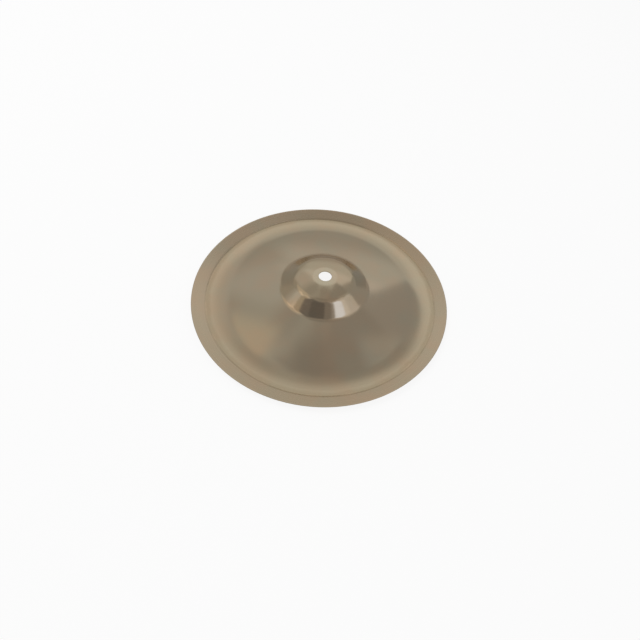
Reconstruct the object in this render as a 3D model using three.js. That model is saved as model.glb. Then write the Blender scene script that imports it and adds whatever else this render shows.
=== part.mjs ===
// China cymbal, 254 mm across, turned from one sheet of bronze.
// Millimetres, +Z up. The origin is on the axis, in the plane that the cymbal rests on.
import * as THREE from "three";

const overallDiameter = 254;
const holeDiameter = 12.7;

// Widths of the zones, straight out from the axis. The bow takes what they leave.
const feltSeatWidth = 4.65;
const capWidth = 17.6;
const bellSideWidth = 14.9;
const valleyWidth = 10;
const flareWidth = 3.7;
const creaseWidth = 1.6;
const lipWidth = 11.2;

// Heights of the upper face. A crown is how far the middle of a run stands proud of a straight one,
// and a hollow is how far it stands back. The lip's rise is measured from the floor of the valley.
const bellHeight = 13.8;
const capDrop = 3.85;
const capCrown = 0.4;
const bellSideHollow = 0.6;
const bowDrop = 13.55;
const bowCrown = 0.95;
const flareRise = 0.37;
const creaseRise = 0.9;
const lipRise = 5.2;

// Metal thickness, which falls from the bell to the rim.
const bellThickness = 0.8;
const valleyThickness = 0.65;
const rimThickness = 0.5;

// How far each bend reaches along the faces on both sides of it. A crown's share is of its whole run.
const feltSeatBend = 1.2;
const shoulderBend = 4;
const bellFootBend = 2.4;
const valleyBend = 5.7;
const flareBend = 3;
const creaseBend = 0.7;
const crownBendShare = 0.4;

// Fineness of the facets.
const facetsRound = 84;
const largestBendStep = THREE.MathUtils.degToRad(9);
const fewestBendSteps = 2;
const rimSteps = 4;

// Radii where the zones meet, outwards from the hole and inwards from the rim.
const holeRadius = holeDiameter / 2;
const feltSeatRadius = holeRadius + feltSeatWidth;
const shoulderRadius = feltSeatRadius + capWidth;
const bellRadius = shoulderRadius + bellSideWidth;
const rimRadius = overallDiameter / 2;
const faceRadius = rimRadius - rimThickness / 2;
const lipRadius = rimRadius - lipWidth;
const creaseRadius = lipRadius - creaseWidth;
const flareRadius = creaseRadius - flareWidth;
const valleyRadius = flareRadius - valleyWidth;

const bronze = new THREE.MeshStandardMaterial({
  name: "bronze",
  color: 0xa5977a,
  roughness: 0.28,
  metalness: 1,
});

/** A corner of the upper face: where two straight runs would meet, and how far its bend reaches. */
function corner(radius, height, bend = 0) {
  return { place: new THREE.Vector2(radius, height), bend };
}

/** The corner half way between two others that gives the run between them its crown, or a hollow. */
function crownCorner(inner, outer, crown) {
  const middle = inner.place.clone().lerp(outer.place, 1 / 2);
  return corner(middle.x, middle.y + crown, crownBendShare * inner.place.distanceTo(outer.place));
}

/** The bell: a flat felt seat, a crowned cap, a round shoulder and a conical side, a little hollow. */
function bellCorners(footHeight) {
  const top = footHeight + bellHeight;
  const seatEdge = corner(feltSeatRadius, top, feltSeatBend);
  const shoulder = corner(shoulderRadius, top - capDrop, shoulderBend);
  const foot = corner(bellRadius, footHeight, bellFootBend);
  return [
    corner(holeRadius, top),
    seatEdge,
    crownCorner(seatEdge, shoulder, capCrown),
    shoulder,
    crownCorner(shoulder, foot, -bellSideHollow),
    foot,
  ];
}

/** The bow: from the foot of the bell down to the valley, a little proud of a straight cone. */
function bowCorners(foot, floorHeight) {
  const valley = corner(valleyRadius, floorHeight, valleyBend);
  return [crownCorner(foot, valley, bowCrown), valley];
}

/** The flange: the floor of the valley, its flare, the pressed crease and the lip turned up to the rim. */
function flangeCorners(floorHeight) {
  return [
    corner(flareRadius, floorHeight, flareBend),
    corner(creaseRadius, floorHeight + flareRise, creaseBend),
    corner(lipRadius, floorHeight + flareRise + creaseRise, creaseBend),
    corner(faceRadius, floorHeight + lipRise),
  ];
}

/** All corners of the upper face, from the hole to the rim. */
function upperCorners() {
  const floorHeight = valleyThickness;
  const bell = bellCorners(floorHeight + bowDrop);
  return [...bell, ...bowCorners(bell.at(-1), floorHeight), ...flangeCorners(floorHeight)];
}

/** How far a bend reaches: less than its own length where it would meet the bend next to it. */
function bendReach(before, at, after) {
  const shares = [before, after].map(({ place, bend }) => at.place.distanceTo(place) / (at.bend + bend));
  return at.bend * Math.min(1, ...shares);
}

/** Unit vector from one corner to the next. */
function runBetween(from, to) {
  return to.place.clone().sub(from.place).normalize();
}

/** One bend: a parabola tangent to the runs before and after it, as places with their directions. */
function bendStations(before, at, after) {
  const runIn = runBetween(before, at);
  const runOut = runBetween(at, after);
  const turn = Math.acos(THREE.MathUtils.clamp(runIn.dot(runOut), -1, 1));
  const steps = Math.max(fewestBendSteps, Math.ceil(turn / largestBendStep));
  const reach = bendReach(before, at, after);
  const start = at.place.clone().addScaledVector(runIn, -reach);
  const end = at.place.clone().addScaledVector(runOut, reach);
  const bend = new THREE.QuadraticBezierCurve(start, at.place, end);
  return Array.from({ length: steps + 1 }, (_, i) => ({
    place: bend.getPoint(i / steps),
    along: runIn.clone().lerp(runOut, i / steps).normalize(),
  }));
}

/** The upper face from the hole to the rim, where both ends of the metal are cut upright. */
function upperStations() {
  const corners = upperCorners();
  const level = new THREE.Vector2(1, 0);
  const bends = corners
    .slice(1, -1)
    .flatMap((at, i) => bendStations(corners[i], at, corners[i + 2]));
  return [
    { place: corners[0].place, along: level },
    ...bends,
    { place: corners.at(-1).place, along: level },
  ];
}

/** Metal thickness at a radius: even on the felt seat and the valley floor, tapered between and beyond. */
function thicknessAt(radius) {
  const { mapLinear, clamp } = THREE.MathUtils;
  if (radius < valleyRadius) {
    const held = Math.max(radius, feltSeatRadius);
    return mapLinear(held, feltSeatRadius, valleyRadius, bellThickness, valleyThickness);
  }
  const held = clamp(radius, creaseRadius, faceRadius);
  return mapLinear(held, creaseRadius, faceRadius, valleyThickness, rimThickness);
}

/** The point of the lower face that lies straight through the metal from a station. */
function pointBelow({ place, along }) {
  const throughMetal = new THREE.Vector2(along.y, -along.x);
  return place.clone().addScaledVector(throughMetal, thicknessAt(place.x));
}

/** The points between the two faces at the rim, which is half round. */
function rimPoints(upperEnd, lowerEnd) {
  const middle = upperEnd.clone().add(lowerEnd).multiplyScalar(1 / 2);
  const arm = upperEnd.clone().sub(middle);
  const turns = Array.from({ length: rimSteps - 1 }, (_, i) => (-Math.PI * (i + 1)) / rimSteps);
  return turns.map((turn) => arm.clone().rotateAround(new THREE.Vector2(), turn).add(middle));
}

/** The closed section of the metal on one side of the axis. */
function section() {
  const stations = upperStations();
  const upper = stations.map(({ place }) => place);
  const lower = stations.map(pointBelow);
  const rim = rimPoints(upper.at(-1), lower.at(-1));
  return [...upper, ...rim, ...lower.reverse(), upper[0]];
}

/** The cymbal: its section turned once round the axis. */
function cymbal() {
  const geometry = new THREE.LatheGeometry(section().reverse(), facetsRound);
  geometry.rotateX(Math.PI / 2);
  const mesh = new THREE.Mesh(geometry, bronze);
  mesh.name = "cymbal";
  return mesh;
}

const chinaCymbal = new THREE.Group();
chinaCymbal.add(cymbal());

export default chinaCymbal;
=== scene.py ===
"""China cymbal, 254 mm across: one disc of bell bronze, turned and polished, on a pale studio floor.

Metres, +Z up. The origin is on the axis, in the plane that the cymbal rests on. The disc has a
polished conical bell, a finely lathed bow, a flat valley, a pressed crease and an upturned lip.
"""

import logging
import math
from dataclasses import dataclass, field
from enum import Enum
from typing import Iterator

import bpy
from mathutils import Euler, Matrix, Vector


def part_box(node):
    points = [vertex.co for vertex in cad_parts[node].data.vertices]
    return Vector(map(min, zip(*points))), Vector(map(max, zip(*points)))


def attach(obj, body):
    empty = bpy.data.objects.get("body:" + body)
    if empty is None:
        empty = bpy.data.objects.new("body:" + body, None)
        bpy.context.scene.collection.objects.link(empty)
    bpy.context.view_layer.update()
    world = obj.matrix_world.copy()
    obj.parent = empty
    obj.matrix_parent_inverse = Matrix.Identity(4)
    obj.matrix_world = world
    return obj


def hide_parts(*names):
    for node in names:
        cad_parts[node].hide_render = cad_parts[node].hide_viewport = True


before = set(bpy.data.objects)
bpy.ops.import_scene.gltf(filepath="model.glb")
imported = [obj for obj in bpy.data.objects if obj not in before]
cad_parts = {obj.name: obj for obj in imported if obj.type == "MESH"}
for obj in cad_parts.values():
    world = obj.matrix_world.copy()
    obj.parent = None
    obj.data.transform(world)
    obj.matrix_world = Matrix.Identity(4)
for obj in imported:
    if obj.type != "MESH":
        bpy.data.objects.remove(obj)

LOG = logging.getLogger("china_cymbal")
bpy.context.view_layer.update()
CAD_NODE = "cymbal"
CAD_BODY = "root"
PHOTO_SIDE_PX = 640

QUARTER_TURN = 90
HALF_TURN = 180
FULL_TURN = 360
ALL_ROUND = 2 * FULL_TURN
NOISE_MIDDLE = 0.5

Colour = tuple[float, float, float]
Number = "float | Wire"
Paint = "Colour | Wire"


def srgb(red: int, green: int, blue: int) -> Colour:
    """A colour as a picture shows it, from 0 to 255, as the linear values that a shader takes.

    Args:
        red: The red value.
        green: The green value.
        blue: The blue value.

    Returns:
        The three linear values, from 0 to 1.
    """

    def linear(value: int) -> float:
        """One value, with the picture's curve undone."""
        share = value / 255
        return share / 12.92 if share <= 0.04045 else ((share + 0.055) / 1.055) ** 2.4

    return linear(red), linear(green), linear(blue)


class Wire:
    """An output socket of a node tree. Arithmetic on it adds Math nodes to the tree."""

    def __init__(self, graph: "Graph", socket: bpy.types.NodeSocket) -> None:
        """Keeps the socket with the graph that it belongs to."""
        self.graph = graph
        self.socket = socket

    def __add__(self, other: Number) -> "Wire":
        """The sum."""
        return self.graph.math("ADD", self, other)

    def __sub__(self, other: Number) -> "Wire":
        """The difference."""
        return self.graph.math("SUBTRACT", self, other)

    def __rsub__(self, other: Number) -> "Wire":
        """The difference from a number."""
        return self.graph.math("SUBTRACT", other, self)

    def __mul__(self, other: Number) -> "Wire":
        """The product."""
        return self.graph.math("MULTIPLY", self, other)

    def __rtruediv__(self, other: Number) -> "Wire":
        """The quotient of a number."""
        return self.graph.math("DIVIDE", other, self)

    __radd__ = __add__
    __rmul__ = __mul__


class Graph:
    """A node tree that is being built, for a material, the world or a modifier."""

    def __init__(self, tree: bpy.types.NodeTree) -> None:
        """Empties the tree, so that it holds only what is added here."""
        self.tree = tree
        tree.nodes.clear()

    def node(self, kind: str, settings: dict | None = None, **values: object) -> bpy.types.Node:
        """Adds a node, with its settings first and then its sockets.

        Args:
            kind: The node's type.
            settings: The node's own properties.
            **values: A value or a Wire for each socket, under the socket's identifier.

        Returns:
            The new node.
        """
        node = self.tree.nodes.new(kind)
        for name, value in (settings or {}).items():
            setattr(node, name, value)
        for name, value in values.items():
            socket = next(s for s in node.inputs if s.identifier == name)
            if isinstance(value, Wire):
                self.tree.links.new(value.socket, socket)
            else:
                socket.default_value = value
        return node

    def wire(self, node: bpy.types.Node, name: str) -> Wire:
        """The output of a node with this identifier."""
        return Wire(self, next(s for s in node.outputs if s.identifier == name))

    def math(self, operation: str, *values: Number, clamp: bool = False) -> Wire:
        """Adds a Math node.

        Args:
            operation: The node's operation.
            *values: Its values, in order.
            clamp: Whether the result is kept between 0 and 1.

        Returns:
            The result.
        """
        names = ("Value", "Value_001")
        settings = {"operation": operation, "use_clamp": clamp}
        return self.wire(self.node("ShaderNodeMath", settings, **dict(zip(names, values))), "Value")

    def step(self, value: Number, low: float, high: float) -> Wire:
        """A smooth step from 0 to 1.

        Args:
            value: The value that the step follows.
            low: The value at which the step is 0.
            high: The value at which it is 1.

        Returns:
            The step.
        """
        settings = {"interpolation_type": "SMOOTHSTEP", "clamp": True}
        sockets = {"Value": value, "From Min": low, "From Max": high, "To Min": 0.0, "To Max": 1.0}
        return self.wire(self.node("ShaderNodeMapRange", settings, **sockets), "Result")

    def blend(self, factor: Number, first: Paint, second: Paint, how: str = "MIX") -> Wire:
        """A colour between two others.

        Args:
            factor: The share of the second colour.
            first: The first colour.
            second: The second colour.
            how: The way that the second colour goes over the first.

        Returns:
            The mixed colour.
        """
        settings = {"data_type": "RGBA", "clamp_factor": True, "blend_type": how}
        sockets = {"Factor_Float": factor, "A_Color": self._opaque(first), "B_Color": self._opaque(second)}
        return self.wire(self.node("ShaderNodeMix", settings, **sockets), "Result_Color")

    @staticmethod
    def _opaque(colour: Paint) -> "tuple | Wire":
        """A colour with the fourth value that a socket takes, or a Wire as it is."""
        return colour if isinstance(colour, Wire) else (*colour, 1.0)

    def tint(self, factor: Number, colour: Paint, tint: Paint) -> Wire:
        """A colour multiplied by a share of a tint."""
        return self.blend(factor, colour, tint, how="MULTIPLY")

    def noise(self, scale: float, detail: float, roughness: float = 0.5, **values: Wire) -> Wire:
        """A noise pattern, in three dimensions, or in one where the socket W is given.

        Args:
            scale: How many times the pattern changes in a metre.
            detail: How many finer layers it has.
            roughness: How strong each finer layer is.
            **values: The Wire that it follows, under the socket's identifier.

        Returns:
            The pattern, which lies on both sides of NOISE_MIDDLE.
        """
        settings = {"noise_dimensions": "1D" if "W" in values else "3D"}
        sockets = {"Scale": scale, "Detail": detail, "Roughness": roughness, **values}
        return self.wire(self.node("ShaderNodeTexNoise", settings, **sockets), "Fac")


@dataclass(frozen=True)
class Station:
    """A place on the upper face and the direction of the face there, both as radius and height."""

    place: Vector
    along: Vector


@dataclass(frozen=True)
class Corner:
    """Where two straight runs of the upper face would meet, and how far the bend there reaches."""

    place: Vector
    bend: float = 0.0


@dataclass(frozen=True)
class Section:
    """The sizes of the metal cut through on one side of the axis, and its outline."""

    rim_radius: float
    height: float

    hole_radius: float = 0.00635
    felt_seat_width: float = 0.00465
    cap_width: float = 0.0176
    bell_side_width: float = 0.0149
    valley_width: float = 0.0115
    flare_width: float = 0.0037
    crease_width: float = 0.0016
    lip_width: float = 0.0112

    bell_height: float = 0.0138
    cap_drop: float = 0.00385
    cap_crown: float = 0.0004
    bell_side_hollow: float = 0.0004
    bow_crown: float = 0.00095
    flare_rise: float = 0.00037
    crease_rise: float = 0.00085
    lip_rise: float = 0.0052

    bell_thickness: float = 0.0008
    valley_thickness: float = 0.00065
    rim_thickness: float = 0.0005

    felt_seat_bend: float = 0.0028
    shoulder_bend: float = 0.004
    bell_foot_bend: float = 0.0024
    valley_bend: float = 0.0095
    flare_bend: float = 0.0024
    crease_bend: float = 0.0008
    crown_bend_share: float = 0.4

    hole_rounding: float = 0.00012
    shortest_step: float = 0.00001
    longest_step: float = 0.0011
    bend_steps: int = 10
    edge_steps: int = 8

    @property
    def felt_seat_radius(self) -> float:
        """The outer edge of the flat round the hole."""
        return self.hole_radius + self.felt_seat_width

    @property
    def shoulder_radius(self) -> float:
        """The edge of the cap, where the side of the bell begins."""
        return self.felt_seat_radius + self.cap_width

    @property
    def bell_radius(self) -> float:
        """The foot of the bell."""
        return self.shoulder_radius + self.bell_side_width

    @property
    def lip_radius(self) -> float:
        """The inner edge of the upturned lip."""
        return self.rim_radius - self.lip_width

    @property
    def crease_radius(self) -> float:
        """The outer edge of the valley, at the foot of the crease."""
        return self.lip_radius - self.crease_width

    @property
    def flare_radius(self) -> float:
        """Where the floor of the valley begins to curve up to the crease."""
        return self.crease_radius - self.flare_width

    @property
    def valley_radius(self) -> float:
        """Where the bow meets the floor of the valley."""
        return self.flare_radius - self.valley_width

    @property
    def face_radius(self) -> float:
        """Where the faces end and the half-round edge of the rim begins."""
        return self.rim_radius - self.rim_thickness / 2

    def _crown(self, inner: Corner, outer: Corner, crown: float) -> Corner:
        """The corner half way between two others that gives their run its crown, or a hollow."""
        middle = inner.place.lerp(outer.place, 1 / 2) + Vector((0.0, crown))
        return Corner(middle, self.crown_bend_share * (outer.place - inner.place).length)

    def corners(self) -> list[Corner]:
        """The corners of the upper face.

        Returns:
            The corners, from the hole to the rim.
        """
        floor = self.valley_thickness
        foot_height = self.height - self.bell_height
        crease_foot = floor + self.flare_rise
        seat = Corner(Vector((self.felt_seat_radius, self.height)), self.felt_seat_bend)
        shoulder = Corner(Vector((self.shoulder_radius, self.height - self.cap_drop)), self.shoulder_bend)
        foot = Corner(Vector((self.bell_radius, foot_height)), self.bell_foot_bend)
        valley = Corner(Vector((self.valley_radius, floor)), self.valley_bend)
        return [
            Corner(Vector((self.hole_radius, self.height))),
            seat,
            self._crown(seat, shoulder, self.cap_crown),
            shoulder,
            self._crown(shoulder, foot, -self.bell_side_hollow),
            foot,
            self._crown(foot, valley, self.bow_crown),
            valley,
            Corner(Vector((self.flare_radius, floor)), self.flare_bend),
            Corner(Vector((self.crease_radius, crease_foot)), self.crease_bend),
            Corner(Vector((self.lip_radius, crease_foot + self.crease_rise)), self.crease_bend),
            Corner(Vector((self.face_radius, floor + self.lip_rise))),
        ]

    def _bend(self, before: Corner, at: Corner, after: Corner) -> Iterator[Station]:
        """The stations of one bend, a parabola that is tangent to the runs on both sides.

        Args:
            before: The corner before the bend.
            at: The corner that the bend rounds off.
            after: The corner after the bend.

        Yields:
            The stations in order.
        """
        run_in = at.place - before.place
        run_out = after.place - at.place
        room_in = run_in.length / (at.bend + before.bend)
        room_out = run_out.length / (at.bend + after.bend)
        reach = at.bend * min(1.0, room_in, room_out)
        start = at.place - reach * run_in.normalized()
        end = at.place + reach * run_out.normalized()
        for step in range(self.bend_steps + 1):
            share = step / self.bend_steps
            place = start.lerp(at.place, share).lerp(at.place.lerp(end, share), share)
            along = run_in.normalized().lerp(run_out.normalized(), share).normalized()
            yield Station(place, along)

    def upper_face(self) -> list[Station]:
        """The stations of the upper face, close enough together for an even mesh.

        Returns:
            The stations, from the hole to the rim.
        """
        corners = self.corners()
        level = Vector((1.0, 0.0))
        inner_end = corners[0].place + Vector((self.hole_rounding, 0.0))
        stations = [Station(inner_end, level)]
        for before, at, after in zip(corners, corners[1:], corners[2:]):
            stations += self._bend(before, at, after)
        stations.append(Station(corners[-1].place, level))
        return list(self._filled(stations))

    def _filled(self, stations: list[Station]) -> Iterator[Station]:
        """The stations without doubles, and with others between them wherever two lie far apart.

        Args:
            stations: The stations as the runs and the bends give them.

        Yields:
            The stations in order.
        """
        for first, second in zip(stations, stations[1:]):
            run = (second.place - first.place).length
            parts = math.ceil(run / self.longest_step) if run > self.shortest_step else 0
            for part in range(parts):
                share = part / parts
                place = first.place.lerp(second.place, share)
                yield Station(place, first.along.lerp(second.along, share).normalized())
        yield stations[-1]

    def thickness(self, radius: float) -> float:
        """The thickness of the metal, even on the felt seat and the valley's floor and tapered elsewhere.

        Args:
            radius: The distance from the axis.

        Returns:
            The thickness there.
        """
        if radius < self.valley_radius:
            taper = self.valley_radius - self.felt_seat_radius
            share = max(0.0, (radius - self.felt_seat_radius) / taper)
            return self.bell_thickness + share * (self.valley_thickness - self.bell_thickness)
        share = (radius - self.crease_radius) / (self.face_radius - self.crease_radius)
        share = min(max(share, 0.0), 1.0)
        return self.valley_thickness + share * (self.rim_thickness - self.valley_thickness)

    def _turn(self, start: Vector, end: Vector, outward: float) -> list[Vector]:
        """The points between the two ends of a half-round edge, without the ends.

        Args:
            start: The first end.
            end: The last end.
            outward: 1 where the edge bulges away from the axis and -1 where it bulges towards it.

        Returns:
            The points in order.
        """
        middle = (start + end) / 2
        arm = start - middle
        side = Vector((outward * arm.length, 0.0))
        angles = (math.pi * step / self.edge_steps for step in range(1, self.edge_steps))
        return [middle + arm * math.cos(angle) + side * math.sin(angle) for angle in angles]

    def outline(self) -> list[tuple[Vector, bool]]:
        """The closed outline of the metal.

        Returns:
            Its points in order, each with True where it is on the lower face.
        """
        upper = self.upper_face()
        lower = [
            station.place + self.thickness(station.place.x) * Vector((station.along.y, -station.along.x))
            for station in upper
        ]
        rounding = self.hole_rounding
        wall_top = Vector((self.hole_radius, upper[0].place.y - rounding))
        wall_foot = Vector((self.hole_radius, lower[0].y + rounding))
        rim = self._turn(upper[-1].place, lower[-1], 1.0)
        points = [(station.place, False) for station in upper]
        points += [(point, False) for point in rim]
        points += [(point, True) for point in reversed(lower)]
        foot_turn = self._quarter(lower[0], Vector((self.hole_radius, lower[0].y)), wall_foot)
        top_turn = self._quarter(wall_top, Vector((self.hole_radius, upper[0].place.y)), upper[0].place)
        points += [(point, True) for point in foot_turn]
        points += [(wall_foot, True), (wall_top, False)]
        points += [(point, False) for point in top_turn]
        return points

    def _quarter(self, start: Vector, corner: Vector, end: Vector) -> list[Vector]:
        """The points of a rounded edge between its ends, without the ends."""
        shares = (step / self.edge_steps for step in range(1, self.edge_steps))
        return [start.lerp(corner, share).lerp(corner.lerp(end, share), share) for share in shares]


class Zone(Enum):
    """The zones of the cymbal that are finished in their own way, from the middle outwards."""

    CAP = "cap"
    SIDE = "side of the bell"
    BOW = "bow"
    VALLEY = "valley"
    LIP = "lip"


@dataclass(frozen=True)
class Polish:
    """The colour and the roughness that one zone is polished to."""

    colour: Colour
    roughness: float


@dataclass(frozen=True)
class BronzeFinish:
    """Bell bronze, lathed in fine rings and polished, smoothest on the bell.

    Painted shade darkens the metal inside the crease, at the rim's edge and round the hole, with some grime
    in the crease and the hole. The widths of the crease's painted shade and grime are measured from the
    foot of the crease: it starts, is full and begins to fade inside, and ends outside.
    """

    zones: dict[Zone, Polish] = field(
        default_factory=lambda: {
            Zone.CAP: Polish(srgb(187, 171, 146), 0.11),
            Zone.SIDE: Polish(srgb(187, 171, 147), 0.11),
            Zone.BOW: Polish(srgb(184, 171, 149), 0.12),
            Zone.VALLEY: Polish(srgb(193, 176, 149), 0.21),
            Zone.LIP: Polish(srgb(190, 173, 148), 0.28),
        }
    )
    zone_blend: float = 0.003
    anisotropy: float = 0.7
    across_the_rings: float = 0.25

    warm_tint: Colour = (1.035, 0.992, 0.965)
    cool_tint: Colour = (0.974, 1.011, 1.008)
    # The tint of the painted shade and grime.
    grime_and_shade_tint: Colour = (0.6, 0.57, 0.5)

    groove_pitch: float = 0.00045
    groove_detail: float = 1.0
    groove_depth: float = 0.0000005
    ring_pitch: float = 0.0022
    ring_detail: float = 3.0
    ring_depth: float = 0.000003
    ring_roughness: float = 0.06

    cloud_size: float = 0.05
    cloud_detail: float = 3.0
    cloud_share: float = 0.5
    cloud_roughness: float = 0.06
    smudge_size: float = 0.022
    smudge_detail: float = 4.0
    smudge_grain: float = 0.6
    tarnish_low: float = 0.38
    tarnish_high: float = 0.62

    # Painted shade, partly grime, inside the crease: a darker band over the valley's floor that ends on the
    # crease.
    crease_grime_and_shade: float = 0.37
    crease_grime_and_shade_start: float = 0.0053
    crease_grime_and_shade_full: float = 0.001325
    crease_grime_and_shade_fade: float = 0.000367
    crease_grime_and_shade_end: float = 0.0011
    crease_grime_and_shade_wander: float = 0.004
    felt_wear: Colour = (1.06, 1.09, 1.11)
    felt_blend: float = 0.0015
    # Painted shade: a thin darker line along the rim's edge.
    rim_painted_shade: float = 0.35
    rim_painted_shade_width: float = 0.0008
    # Painted shade, partly grime: the hole's wall and edge are darkened where shadow falls.
    hole_grime_and_shade: float = 0.9
    hole_grime_and_shade_width: float = 0.0005

    def material(self, section: Section) -> bpy.types.Material:
        """The finish as a material, placed by the zones of the section.

        Args:
            section: The sizes of the cymbal.

        Returns:
            The material.
        """
        made = bpy.data.materials.new("bronze_lathed")
        made.use_nodes = True
        graph = Graph(made.node_tree)
        place = graph.wire(graph.node("ShaderNodeTexCoord"), "Object")
        axes = graph.node("ShaderNodeSeparateXYZ", Vector=place)
        across, along = graph.wire(axes, "X"), graph.wire(axes, "Y")
        radius = graph.math("SQRT", across * across + along * along)
        rings = graph.noise(1 / self.ring_pitch, self.ring_detail, W=radius)
        clouds = graph.noise(1 / self.cloud_size, self.cloud_detail, Vector=place)
        smudges = graph.noise(1 / self.smudge_size, self.smudge_detail, self.smudge_grain, Vector=place)
        shader = graph.node(
            "ShaderNodeBsdfPrincipled",
            Metallic=1.0,
            Anisotropic=self.anisotropy,
            **{
                "Anisotropic Rotation": self.across_the_rings,
                "Base Color": self._colour(graph, section, radius, clouds, smudges),
                "Roughness": self._roughness(graph, section, radius, rings, clouds),
                "Normal": self._bump(graph, radius, rings),
            },
        )
        graph.node("ShaderNodeOutputMaterial", Surface=graph.wire(shader, "BSDF"))
        return made

    def _borders(self, graph: Graph, section: Section, radius: Wire) -> list[tuple[Zone, Wire]]:
        """The zones past the cap.

        Args:
            graph: The material's graph.
            section: The sizes of the cymbal.
            radius: The distance from the axis.

        Returns:
            Each zone with a mask that is 1 from its inner border outwards.
        """
        half = self.zone_blend / 2
        bend = section.valley_bend
        borders = {
            Zone.SIDE: (section.shoulder_radius - half, section.shoulder_radius + half),
            Zone.BOW: (section.bell_radius - half, section.bell_radius + half),
            Zone.VALLEY: (section.valley_radius - bend, section.valley_radius + bend),
            Zone.LIP: (section.crease_radius, section.lip_radius),
        }
        return [(zone, graph.step(radius, low, high)) for zone, (low, high) in borders.items()]

    def _near_crease(self, graph: Graph, section: Section, radius: Wire) -> Wire:
        """Where the painted shade and grime inside the crease lie.

        Args:
            graph: The material's graph.
            section: The sizes of the cymbal.
            radius: The distance from the axis.

        Returns:
            A mask that rises slowly over the floor of the valley to the crease and ends on it.
        """
        crease = section.crease_radius
        rise = graph.step(radius, crease - self.crease_grime_and_shade_start, crease - self.crease_grime_and_shade_full)
        end = graph.step(radius, crease - self.crease_grime_and_shade_fade, crease + self.crease_grime_and_shade_end)
        return rise * (1.0 - end)

    def _grime_and_shade(self, graph: Graph, section: Section, radius: Wire, smudges: Wire) -> Wire:
        """How much painted shade and grime darken the metal.

        Args:
            graph: The material's graph.
            section: The sizes of the cymbal.
            radius: The distance from the axis.
            smudges: The small patches of wear, along which the painted shade and grime inside the crease
                wanders.

        Returns:
            The share of the tint of painted shade and grime, from 0 to 1.
        """
        # The crease's painted shade and grime wanders a little with the smudges.
        wandering = radius + (smudges - NOISE_MIDDLE) * self.crease_grime_and_shade_wander
        crease = self._near_crease(graph, section, wandering)
        rim = graph.step(radius, section.rim_radius - self.rim_painted_shade_width, section.face_radius)
        hole_end = section.hole_radius + self.hole_grime_and_shade_width
        hole = 1.0 - graph.step(radius, section.hole_radius, hole_end)
        outer = graph.math("MAXIMUM", crease * self.crease_grime_and_shade, rim * self.rim_painted_shade)
        return graph.math("MAXIMUM", outer, hole * self.hole_grime_and_shade)

    def _colour(self, graph: Graph, section: Section, radius: Wire, clouds: Wire, smudges: Wire) -> Wire:
        """The colour of the metal.

        Args:
            graph: The material's graph.
            section: The sizes of the cymbal.
            radius: The distance from the axis.
            clouds: The large patches of tarnish.
            smudges: The small patches of wear.

        Returns:
            The colour.
        """
        colour: Paint = self.zones[Zone.CAP].colour
        for zone, mask in self._borders(graph, section, radius):
            colour = graph.blend(mask, colour, self.zones[zone].colour)
        patches = clouds * self.cloud_share + smudges * (1.0 - self.cloud_share)
        tarnish = graph.step(patches, self.tarnish_low, self.tarnish_high)
        colour = graph.tint(1.0, colour, graph.blend(tarnish, self.cool_tint, self.warm_tint))
        worn = graph.step(radius, section.felt_seat_radius + self.felt_blend, section.felt_seat_radius)
        colour = graph.tint(worn, colour, self.felt_wear)
        # Painted shade, with some grime, darkens the crease, the rim's edge and the hole's edge.
        return graph.tint(self._grime_and_shade(graph, section, radius, smudges), colour, self.grime_and_shade_tint)

    def _roughness(self, graph: Graph, section: Section, radius: Wire, rings: Wire, clouds: Wire) -> Wire:
        """The roughness of the metal: lowest on the bell, higher where it is dull.

        Args:
            graph: The material's graph.
            section: The sizes of the cymbal.
            radius: The distance from the axis.
            rings: The ring pattern of the lathe.
            clouds: The large patches of tarnish.

        Returns:
            The roughness.
        """
        level: Number = self.zones[Zone.CAP].roughness
        inner = level
        for zone, mask in self._borders(graph, section, radius):
            outer = self.zones[zone].roughness
            level = mask * (outer - inner) + level
            inner = outer
        from_rings = (rings - NOISE_MIDDLE) * self.ring_roughness
        from_clouds = (clouds - NOISE_MIDDLE) * self.cloud_roughness
        return level + from_rings + from_clouds

    def _bump(self, graph: Graph, radius: Wire, rings: Wire) -> Wire:
        """The relief that the lathe left: fine grooves on broader rings.

        Args:
            graph: The material's graph.
            radius: The distance from the axis.
            rings: The broader rings.

        Returns:
            The normal.
        """
        grooves = graph.noise(1 / self.groove_pitch, self.groove_detail, W=radius)
        height = grooves * self.groove_depth + rings * self.ring_depth
        bump = graph.node("ShaderNodeBump", Height=height, Strength=1.0, Distance=1.0)
        return graph.wire(bump, "Normal")


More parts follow.
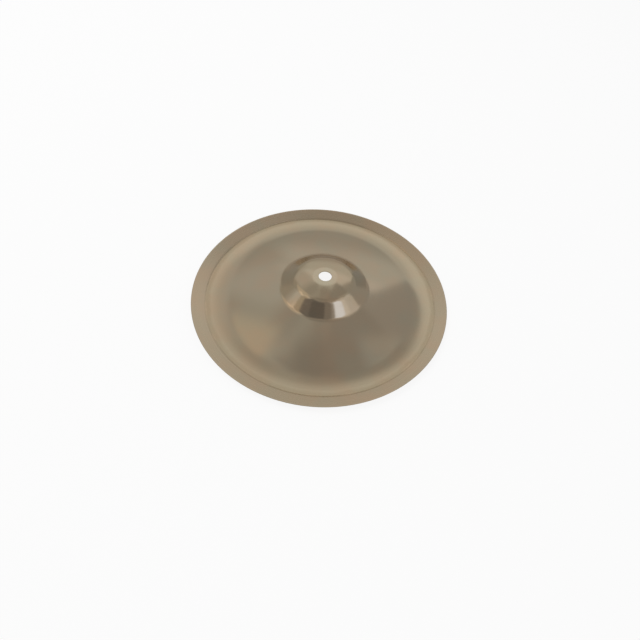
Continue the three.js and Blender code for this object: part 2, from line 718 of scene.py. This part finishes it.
@dataclass
class Cymbal:
    """The cymbal: its section turned round the axis, and its finish."""

    section: Section
    finish: BronzeFinish = field(default_factory=BronzeFinish)
    steps_round: int = 240
    waviness: float = 0.00004
    wave_length: float = 0.05
    wave_detail: float = 1.0
    seed: float = 3.0

    def build(self) -> bpy.types.Object:
        """Makes the cymbal as one plain mesh in its finish, riding on its body.

        Returns:
            The finished piece.
        """
        piece = bpy.data.objects.new("cymbal_disc", self._section_mesh())
        bpy.context.scene.collection.objects.link(piece)
        modifier = piece.modifiers.new("turned", "NODES")
        modifier.node_group = self._turning()
        values = {
            "Hole Radius": self.section.hole_radius,
            "Steps Round": self.steps_round,
            "Waviness": self.waviness,
            "Wave Length": self.wave_length,
            "Seed": self.seed,
            "Finish": self.finish.material(self.section),
        }
        for socket in modifier.node_group.interface.items_tree:
            if socket.name in values:
                modifier[socket.identifier] = values[socket.name]
        evaluated = piece.evaluated_get(bpy.context.evaluated_depsgraph_get())
        mesh = bpy.data.meshes.new_from_object(evaluated)
        piece.modifiers.clear()
        piece.data = mesh
        mesh.name = piece.name
        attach(piece, CAD_BODY)
        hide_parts(CAD_NODE)
        return piece

    def _section_mesh(self) -> bpy.types.Mesh:
        """The outline of the metal as a closed line.

        Returns:
            A mesh of edges, measured outwards from the wall of the hole.
        """
        outline = self.section.outline()
        points = [(point.x - self.section.hole_radius, -point.y, 0.0) for point, _ in outline]
        edges = [(i, (i + 1) % len(points)) for i in range(len(points))]
        mesh = bpy.data.meshes.new("section")
        mesh.from_pydata(points, edges, [])
        underside = mesh.attributes.new("underside", "FLOAT", "POINT")
        underside.data.foreach_set("value", [float(is_under) for _, is_under in outline])
        return mesh

    def _turning(self) -> bpy.types.NodeTree:
        """The tree that turns a section round the axis and makes the sheet a little wavy.

        Returns:
            The node group, with its sizes as named inputs.
        """
        tree = bpy.data.node_groups.new("turn_section", "GeometryNodeTree")
        graph = Graph(tree)
        sockets = (
            ("Section", "NodeSocketGeometry"),
            ("Hole Radius", "NodeSocketFloat"),
            ("Steps Round", "NodeSocketInt"),
            ("Waviness", "NodeSocketFloat"),
            ("Wave Length", "NodeSocketFloat"),
            ("Seed", "NodeSocketFloat"),
            ("Finish", "NodeSocketMaterial"),
        )
        names = {}
        for name, kind in sockets:
            names[name] = tree.interface.new_socket(name, in_out="INPUT", socket_type=kind).identifier
        tree.interface.new_socket("Cymbal", in_out="OUTPUT", socket_type="NodeSocketGeometry")
        inputs = graph.node("NodeGroupInput")
        given = {name: graph.wire(inputs, identifier) for name, identifier in names.items()}

        profile = graph.node("GeometryNodeMeshToCurve", Mesh=given["Section"])
        circle = graph.node(
            "GeometryNodeCurvePrimitiveCircle",
            {"mode": "RADIUS"},
            Resolution=given["Steps Round"],
            Radius=given["Hole Radius"],
        )
        upright = graph.node(
            "GeometryNodeSetCurveNormal", {"mode": "Z_UP"}, Curve=graph.wire(circle, "Curve")
        )
        turned = graph.node(
            "GeometryNodeCurveToMesh",
            Curve=graph.wire(upright, "Curve"),
            **{"Profile Curve": graph.wire(profile, "Curve")},
        )
        place = graph.wire(graph.node("GeometryNodeInputPosition"), "Position")
        waves = graph.node(
            "ShaderNodeTexNoise",
            {"noise_dimensions": "4D"},
            Vector=place,
            W=given["Seed"],
            Scale=1.0 / given["Wave Length"],
            Detail=self.wave_detail,
        )
        lift = (graph.wire(waves, "Fac") - NOISE_MIDDLE) * given["Waviness"]
        offset = graph.node("ShaderNodeCombineXYZ", Z=lift)
        wavy = graph.node(
            "GeometryNodeSetPosition",
            Geometry=graph.wire(turned, "Mesh"),
            Offset=graph.wire(offset, "Vector"),
        )
        smooth = graph.node("GeometryNodeSetShadeSmooth", Geometry=graph.wire(wavy, "Geometry"))
        real = graph.node("GeometryNodeRealizeInstances", Geometry=graph.wire(smooth, "Geometry"))
        dressed = graph.node(
            "GeometryNodeSetMaterial", Geometry=graph.wire(real, "Geometry"), Material=given["Finish"]
        )
        output = graph.node("NodeGroupOutput")
        tree.links.new(graph.wire(dressed, "Geometry").socket, output.inputs[0])
        return tree


def grey(level: float) -> Colour:
    """A neutral light of one level."""
    return level, level, level


@dataclass(frozen=True)
class Card:
    """A soft-edged card, flag or window of the light tent, as the polished metal mirrors it.

    Azimuth 0 lies behind the cymbal and 90 to its right, and elevation is above the horizon. All
    sizes are in degrees, with ALL_ROUND as the width of a card that has no sides.
    """

    name: str
    azimuth: float
    elevation: float
    width: float
    height: float
    softness: float
    light: Colour

    def cover(self, azimuth: float, elevation: float) -> float:
        """The share of the card in a direction.

        Args:
            azimuth: The azimuth of the direction.
            elevation: The elevation of the direction.

        Returns:
            1 inside the card and 0 outside, with soft edges.
        """
        beside = abs((azimuth - self.azimuth + HALF_TURN) % FULL_TURN - HALF_TURN)
        above = abs(elevation - self.elevation)
        return self._inside(beside, self.width) * self._inside(above, self.height)

    def _inside(self, distance: float, size: float) -> float:
        """The share of the card along one of its sides.

        Args:
            distance: The distance from the middle of the card.
            size: The length of the side.

        Returns:
            A smooth step from 1 inside to 0 outside.
        """
        share = (size / 2 + self.softness / 2 - distance) / self.softness
        share = min(max(share, 0.0), 1.0)
        return share * share * (3.0 - 2.0 * share)


@dataclass
class LightTent:
    """The inside of the tent round the table, which only the polished metal sees.

    A later card hangs before the others, and the room's light is behind them all. The hem of the
    tent lies on the table, where the side of the bell mirrors it below the horizon. The step
    between two directions and the depth of the hem are in degrees.
    """

    radius: float = 8.0
    step: int = 2
    hem_depth: int = 8
    hem_height: float = 0.0008
    bell_side_height: float = 0.02
    room_light: Colour = grey(0.727)
    cards: tuple[Card, ...] = (
        Card("ceiling", 0, QUARTER_TURN, ALL_ROUND, 46, 11, (0.441, 0.41, 0.391)),
        Card("ceiling_middle", 0, QUARTER_TURN, ALL_ROUND, 20, 8, (0.379, 0.355, 0.34)),
        Card("ceiling_right", 58, 76, 58, 22, 10, (0.412, 0.383, 0.366)),
        Card("ceiling_back", -12, 78, 72, 8, 8, (0.47, 0.436, 0.415)),
        Card("left_wall", -49, 46, 66, 60, 10, (0.57, 0.547, 0.527)),
        Card("left_high", -40, 66, 44, 13, 8, (0.48, 0.459, 0.443)),
        Card("left_flag", -62, 29, 23, 22, 8, (0.492, 0.465, 0.43)),
        Card("left_reflector", -36, 41, 19, 26, 8, (0.641, 0.625, 0.617)),
        Card("back_reflector", 4.5, 44, 57, 28, 9, (0.812, 0.809, 0.818)),
        Card("back_low", 0, 3, 72, 38, 8, (0.5, 0.48, 0.453)),
        Card("back_middle", 8, 27, 52, 16, 10, (0.695, 0.68, 0.664)),
        Card("table_left", -30, -6, 26, 14, 5, (0.406, 0.383, 0.352)),
        Card("table_right", 29, -6, 26, 14, 5, (0.391, 0.375, 0.352)),
        Card("left_low", -71, 3, 80, 36, 8, (0.406, 0.391, 0.371)),
        Card("right_low", 71, 2, 84, 34, 6, (0.352, 0.352, 0.348)),
        Card("right_wall", 56, 42, 46, 56, 3, (0.453, 0.449, 0.449)),
        Card("right_glow", 64, 58, 12, 18, 7, (0.53, 0.522, 0.507)),
        Card("right_flag", 41, 65, 34, 22, 4, (0.41, 0.398, 0.391)),
        Card("warm_lamp", -74, 54, 38, 26, 8, (0.727, 0.66, 0.586)),
        Card("warm_edge", -86, 49, 22, 9, 4, (1.031, 0.922, 0.812)),
        Card("warm_high", -96, 61, 18, 9, 4, (0.859, 0.781, 0.688)),
        Card("left_far", -110.5, 50, 27, 20, 6, (0.57, 0.52, 0.449)),
        Card("curtain", 90, 46, 36, 15, 5, (0.758, 0.773, 0.805)),
        Card("curtain_edge", 106, 50, 14, 16, 5, (0.898, 0.93, 0.969)),
        Card("window", 124, 54, 27, 18, 3, (1.133, 1.312, 1.656)),
        Card("window_side", 144, 57, 13, 22, 5, (0.438, 0.438, 0.453)),
        Card("window_foot", 139, 50, 6, 8, 4, (0.859, 0.938, 1.109)),
        Card("camera_side", -161, 59, 99, 29, 5, (0.258, 0.242, 0.242)),
        Card("camera", -163, 58, 52, 20, 8, (0.199, 0.188, 0.188)),
        Card("viewer_right", 160, 59, 24, 29, 6, (0.312, 0.301, 0.297)),
    )

    def build(self) -> bpy.types.Object:
        """Makes the tent, seen by mirror reflections alone.

        Returns:
            The tent.
        """
        azimuths = range(-HALF_TURN, HALF_TURN, self.step)
        elevations = range(-self.hem_depth, QUARTER_TURN + self.step, self.step)
        directions = [(azimuth, elevation) for elevation in elevations for azimuth in azimuths]
        points = [self._place(*direction) for direction in directions]
        count = len(azimuths)
        faces = [
            (row + i, row + (i + 1) % count, row + count + (i + 1) % count, row + count + i)
            for row in range(0, count * (len(elevations) - 1), count)
            for i in range(count)
        ]
        mesh = bpy.data.meshes.new("light_tent")
        mesh.from_pydata(points, [], faces)
        light = mesh.color_attributes.new("light", "FLOAT_COLOR", "POINT")
        seen = [value for direction in directions for value in self._seen(*direction)]
        light.data.foreach_set("color", seen)
        mesh.materials.append(self._material())
        tent = bpy.data.objects.new("light_tent", mesh)
        tent.visible_camera = False
        tent.visible_diffuse = False
        tent.visible_transmission = False
        tent.visible_shadow = False
        bpy.context.scene.collection.objects.link(tent)
        return tent

    def _place(self, azimuth: float, elevation: float) -> Vector:
        """A place on the tent, or on its hem where the elevation is below the horizon.

        Args:
            azimuth: The azimuth, seen from the axis.
            elevation: The elevation, seen from the axis or, for the hem, from the side of the bell.

        Returns:
            The place.
        """
        turn, lift = math.radians(azimuth), math.radians(elevation)
        outward = Vector((math.sin(turn), math.cos(turn), 0.0))
        if elevation < 0:
            distance = self.bell_side_height / math.tan(-lift)
            return outward * distance + Vector((0.0, 0.0, self.hem_height))
        return (outward * math.cos(lift) + Vector((0.0, 0.0, math.sin(lift)))) * self.radius

    def _seen(self, azimuth: float, elevation: float) -> tuple[float, float, float, float]:
        """The light in a direction, of the room and of the cards before it.

        Args:
            azimuth: The azimuth of the direction.
            elevation: The elevation of the direction.

        Returns:
            The light's three values and an opacity of 1.
        """
        light = Vector(self.room_light)
        for card in self.cards:
            light = light.lerp(Vector(card.light), card.cover(azimuth, elevation))
        return (*light, 1.0)

    @staticmethod
    def _material() -> bpy.types.Material:
        """The glow of the tent.

        Returns:
            A material that shows the light which each point of the tent holds.
        """
        made = bpy.data.materials.new("tent_light")
        made.use_nodes = True
        graph = Graph(made.node_tree)
        light = graph.node("ShaderNodeAttribute", {"attribute_name": "light"})
        glow = graph.node("ShaderNodeEmission", Color=graph.wire(light, "Color"), Strength=1.0)
        graph.node("ShaderNodeOutputMaterial", Surface=graph.wire(glow, "Emission"))
        return made


@dataclass
class Studio:
    """The floor, the pale surroundings and the lamp of a plain studio."""

    floor_side: float = 12.0
    floor_colour: Colour = grey(0.09)
    floor_glow: float = 0.88

    backdrop: Colour = grey(0.93)
    room_light: float = 0.75

    lamp_place: Vector = field(default_factory=lambda: Vector((-0.9, 0.5, 1.6)))
    lamp_side: float = 1.1
    lamp_watts: float = 12.0

    tent: LightTent = field(default_factory=LightTent)

    def build(self) -> None:
        """Makes the floor, the surroundings, the lamp and the light tent."""
        self._floor()
        self._surroundings()
        self._lamp()
        self.tent.build()

    @staticmethod
    def _shown(graph: Graph) -> Wire:
        """Tells the rays that show a surface from those that light others.

        Args:
            graph: The graph of the surface's material, or of the world.

        Returns:
            1 for a ray that shows the surface, straight or in a mirror, and 0 for any other.
        """
        path = graph.node("ShaderNodeLightPath")
        rays = ("Is Camera Ray", "Is Glossy Ray", "Is Transmission Ray")
        camera, glossy, transmitted = (graph.wire(path, name) for name in rays)
        return graph.math("ADD", camera + glossy, transmitted, clamp=True)

    def _floor(self) -> None:
        """A pale floor that keeps a soft shadow of the cymbal."""
        half = self.floor_side / 2
        corners = [(-half, -half, 0.0), (half, -half, 0.0), (half, half, 0.0), (-half, half, 0.0)]
        mesh = bpy.data.meshes.new("floor")
        mesh.from_pydata(corners, [], [(0, 1, 2, 3)])
        floor = bpy.data.objects.new("floor", mesh)
        bpy.context.scene.collection.objects.link(floor)
        material = bpy.data.materials.new("floor_pale")
        material.use_nodes = True
        graph = Graph(material.node_tree)
        glow = graph.node("ShaderNodeEmission", Strength=self._shown(graph) * self.floor_glow)
        cover = graph.node("ShaderNodeBsdfDiffuse", Color=(*self.floor_colour, 1.0))
        both = graph.node(
            "ShaderNodeAddShader", Shader=graph.wire(glow, "Emission"), Shader_001=graph.wire(cover, "BSDF")
        )
        graph.node("ShaderNodeOutputMaterial", Surface=graph.wire(both, "Shader"))
        mesh.materials.append(material)

    def _surroundings(self) -> None:
        """The world: a pale backdrop where it is seen, and a plain even light on everything."""
        world = bpy.data.worlds.new("studio")
        world.use_nodes = True
        bpy.context.scene.world = world
        graph = Graph(world.node_tree)
        shown = graph.blend(self._shown(graph), grey(self.room_light), self.backdrop)
        background = graph.node("ShaderNodeBackground", Color=shown, Strength=1.0)
        graph.node("ShaderNodeOutputWorld", Surface=graph.wire(background, "Background"))

    def _lamp(self) -> None:
        """A large soft lamp for the floor, which the metal doesn't mirror."""
        data = bpy.data.lights.new("softbox", "AREA")
        data.size = self.lamp_side
        data.energy = self.lamp_watts
        lamp = bpy.data.objects.new("softbox", data)
        lamp.location = self.lamp_place
        lamp.rotation_mode = "QUATERNION"
        lamp.rotation_quaternion = (-self.lamp_place).to_track_quat("-Z", "Y")
        lamp.visible_glossy = False
        bpy.context.scene.collection.objects.link(lamp)


@dataclass(frozen=True)
class PhotoCamera:
    """The camera of the photograph, fitted to the ellipses of the rim, the crease and the hole."""

    focal_length_px: float = 420.0
    centre_px: tuple[float, float] = (361.2, 320.0)
    sensor: float = 36.0
    distance_back: float = 0.27828
    height: float = 0.33044
    heading: float = 8.873
    downward: float = 52.562
    roll: float = 11.929

    def build(self) -> bpy.types.Object:
        """Makes the camera and gives it to the scene.

        Returns:
            The camera.
        """
        data = bpy.data.cameras.new("photo_camera")
        data.sensor_width = self.sensor
        data.lens = self.focal_length_px * self.sensor / PHOTO_SIDE_PX
        data.shift_x = (PHOTO_SIDE_PX / 2 - self.centre_px[0]) / PHOTO_SIDE_PX
        data.shift_y = (self.centre_px[1] - PHOTO_SIDE_PX / 2) / PHOTO_SIDE_PX
        camera = bpy.data.objects.new("photo_camera", data)
        camera.location = (0.0, -self.distance_back, self.height)
        tilt = math.radians(QUARTER_TURN - self.downward)
        turn = Euler((tilt, 0.0, -math.radians(self.heading))).to_matrix()
        twist = Euler((0.0, 0.0, math.radians(self.roll))).to_matrix()
        camera.rotation_euler = (turn @ twist).to_euler()
        bpy.context.scene.collection.objects.link(camera)
        bpy.context.scene.camera = camera
        return camera


def main() -> None:
    """Builds the camera, the studio and the cymbal, and reports the camera's lens and the cymbal's faces.
    """
    logging.basicConfig(level=logging.INFO, format="%(message)s")
    bpy.context.scene.view_settings.view_transform = "Standard"
    camera = PhotoCamera().build()
    LOG.info("camera: %.1f mm lens", camera.data.lens)
    Studio().build()
    low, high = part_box(CAD_NODE)
    section = Section(rim_radius=(high.x - low.x) / 2, height=high.z - low.z)
    piece = Cymbal(section).build()
    LOG.info("%s: %d faces", piece.name, len(piece.data.polygons))


if __name__ == "__main__":
    main()
